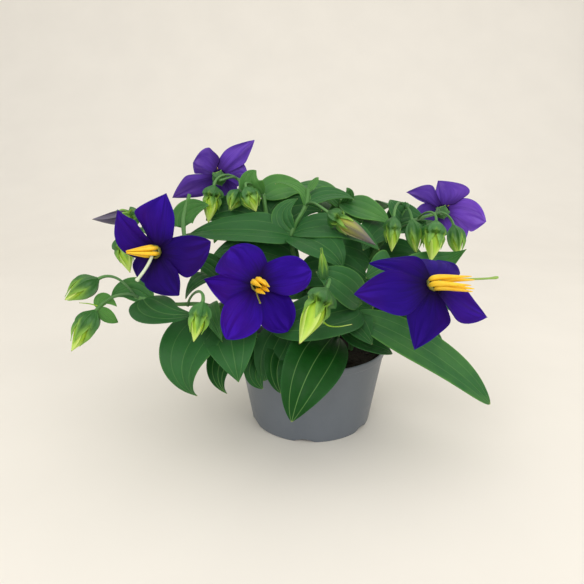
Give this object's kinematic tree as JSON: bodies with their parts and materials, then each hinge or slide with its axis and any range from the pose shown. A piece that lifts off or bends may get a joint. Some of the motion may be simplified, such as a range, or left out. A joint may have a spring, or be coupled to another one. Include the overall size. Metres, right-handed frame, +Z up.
{
  "type": "potted flowering plant",
  "caption": "Bushy potted persian violet: violet flowers with yellow anther cones, nodding buds and pointed green leaves in a low grey nursery pot.",
  "frame": {"origin": "centre of the pot's underside, in the plane it stands on", "axes": "+Z up; -Y towards the viewer of the picture; +X to the viewer's right"},
  "size_m": [0.2824, 0.1978, 0.1963],
  "materials": {
    "pot_plastic": "satin moulded plastic",
    "soil": "dark crumbly growing medium",
    "leaf": "semi-gloss leaf",
    "petal": "velvety petal",
    "anther": "waxy",
    "style": "smooth, slightly moist",
    "bud": "waxy, folded petals"
  },
  "bodies": {
    "root": {"pot": "pot_plastic", "soil": "soil", "stem_back": "leaf", "stem_back_left": "leaf", "stem_back_right": "leaf", "stem_centre": "leaf", "stem_front": "leaf", "stem_front_right": "leaf", "stem_left": "leaf", "stem_low_left": "leaf", "stem_right": "leaf", "flower_back_left_petals": "petal", "flower_back_left_pistil": "style", "flower_back_left_stamens": "anther", "flower_back_right_petals": "petal", "flower_back_right_pistil": "style", "flower_back_right_stamens": "anther", "flower_front_petals": "petal", "flower_front_pistil": "style", "flower_front_stamens": "anther", "flower_left_petals": "petal", "flower_left_pistil": "style", "flower_left_stamens": "anther", "flower_right_petals": "petal", "flower_right_pistil": "style", "flower_right_stamens": "anther", "bud_back_left_1": "bud", "bud_back_left_2": "bud", "bud_back_left_3": "bud", "bud_back_right_1": "bud", "bud_back_right_2": "bud", "bud_back_right_3": "bud", "bud_back_right_4": "bud", "bud_centre_1": "bud", "bud_front_right_1": "bud", "bud_front_right_2": "bud", "bud_left_1": "bud", "bud_left_2": "bud", "bud_low_left_1": "bud", "bud_low_left_2": "bud", "bud_low_left_3": "bud"}
  },
  "joints": []
}
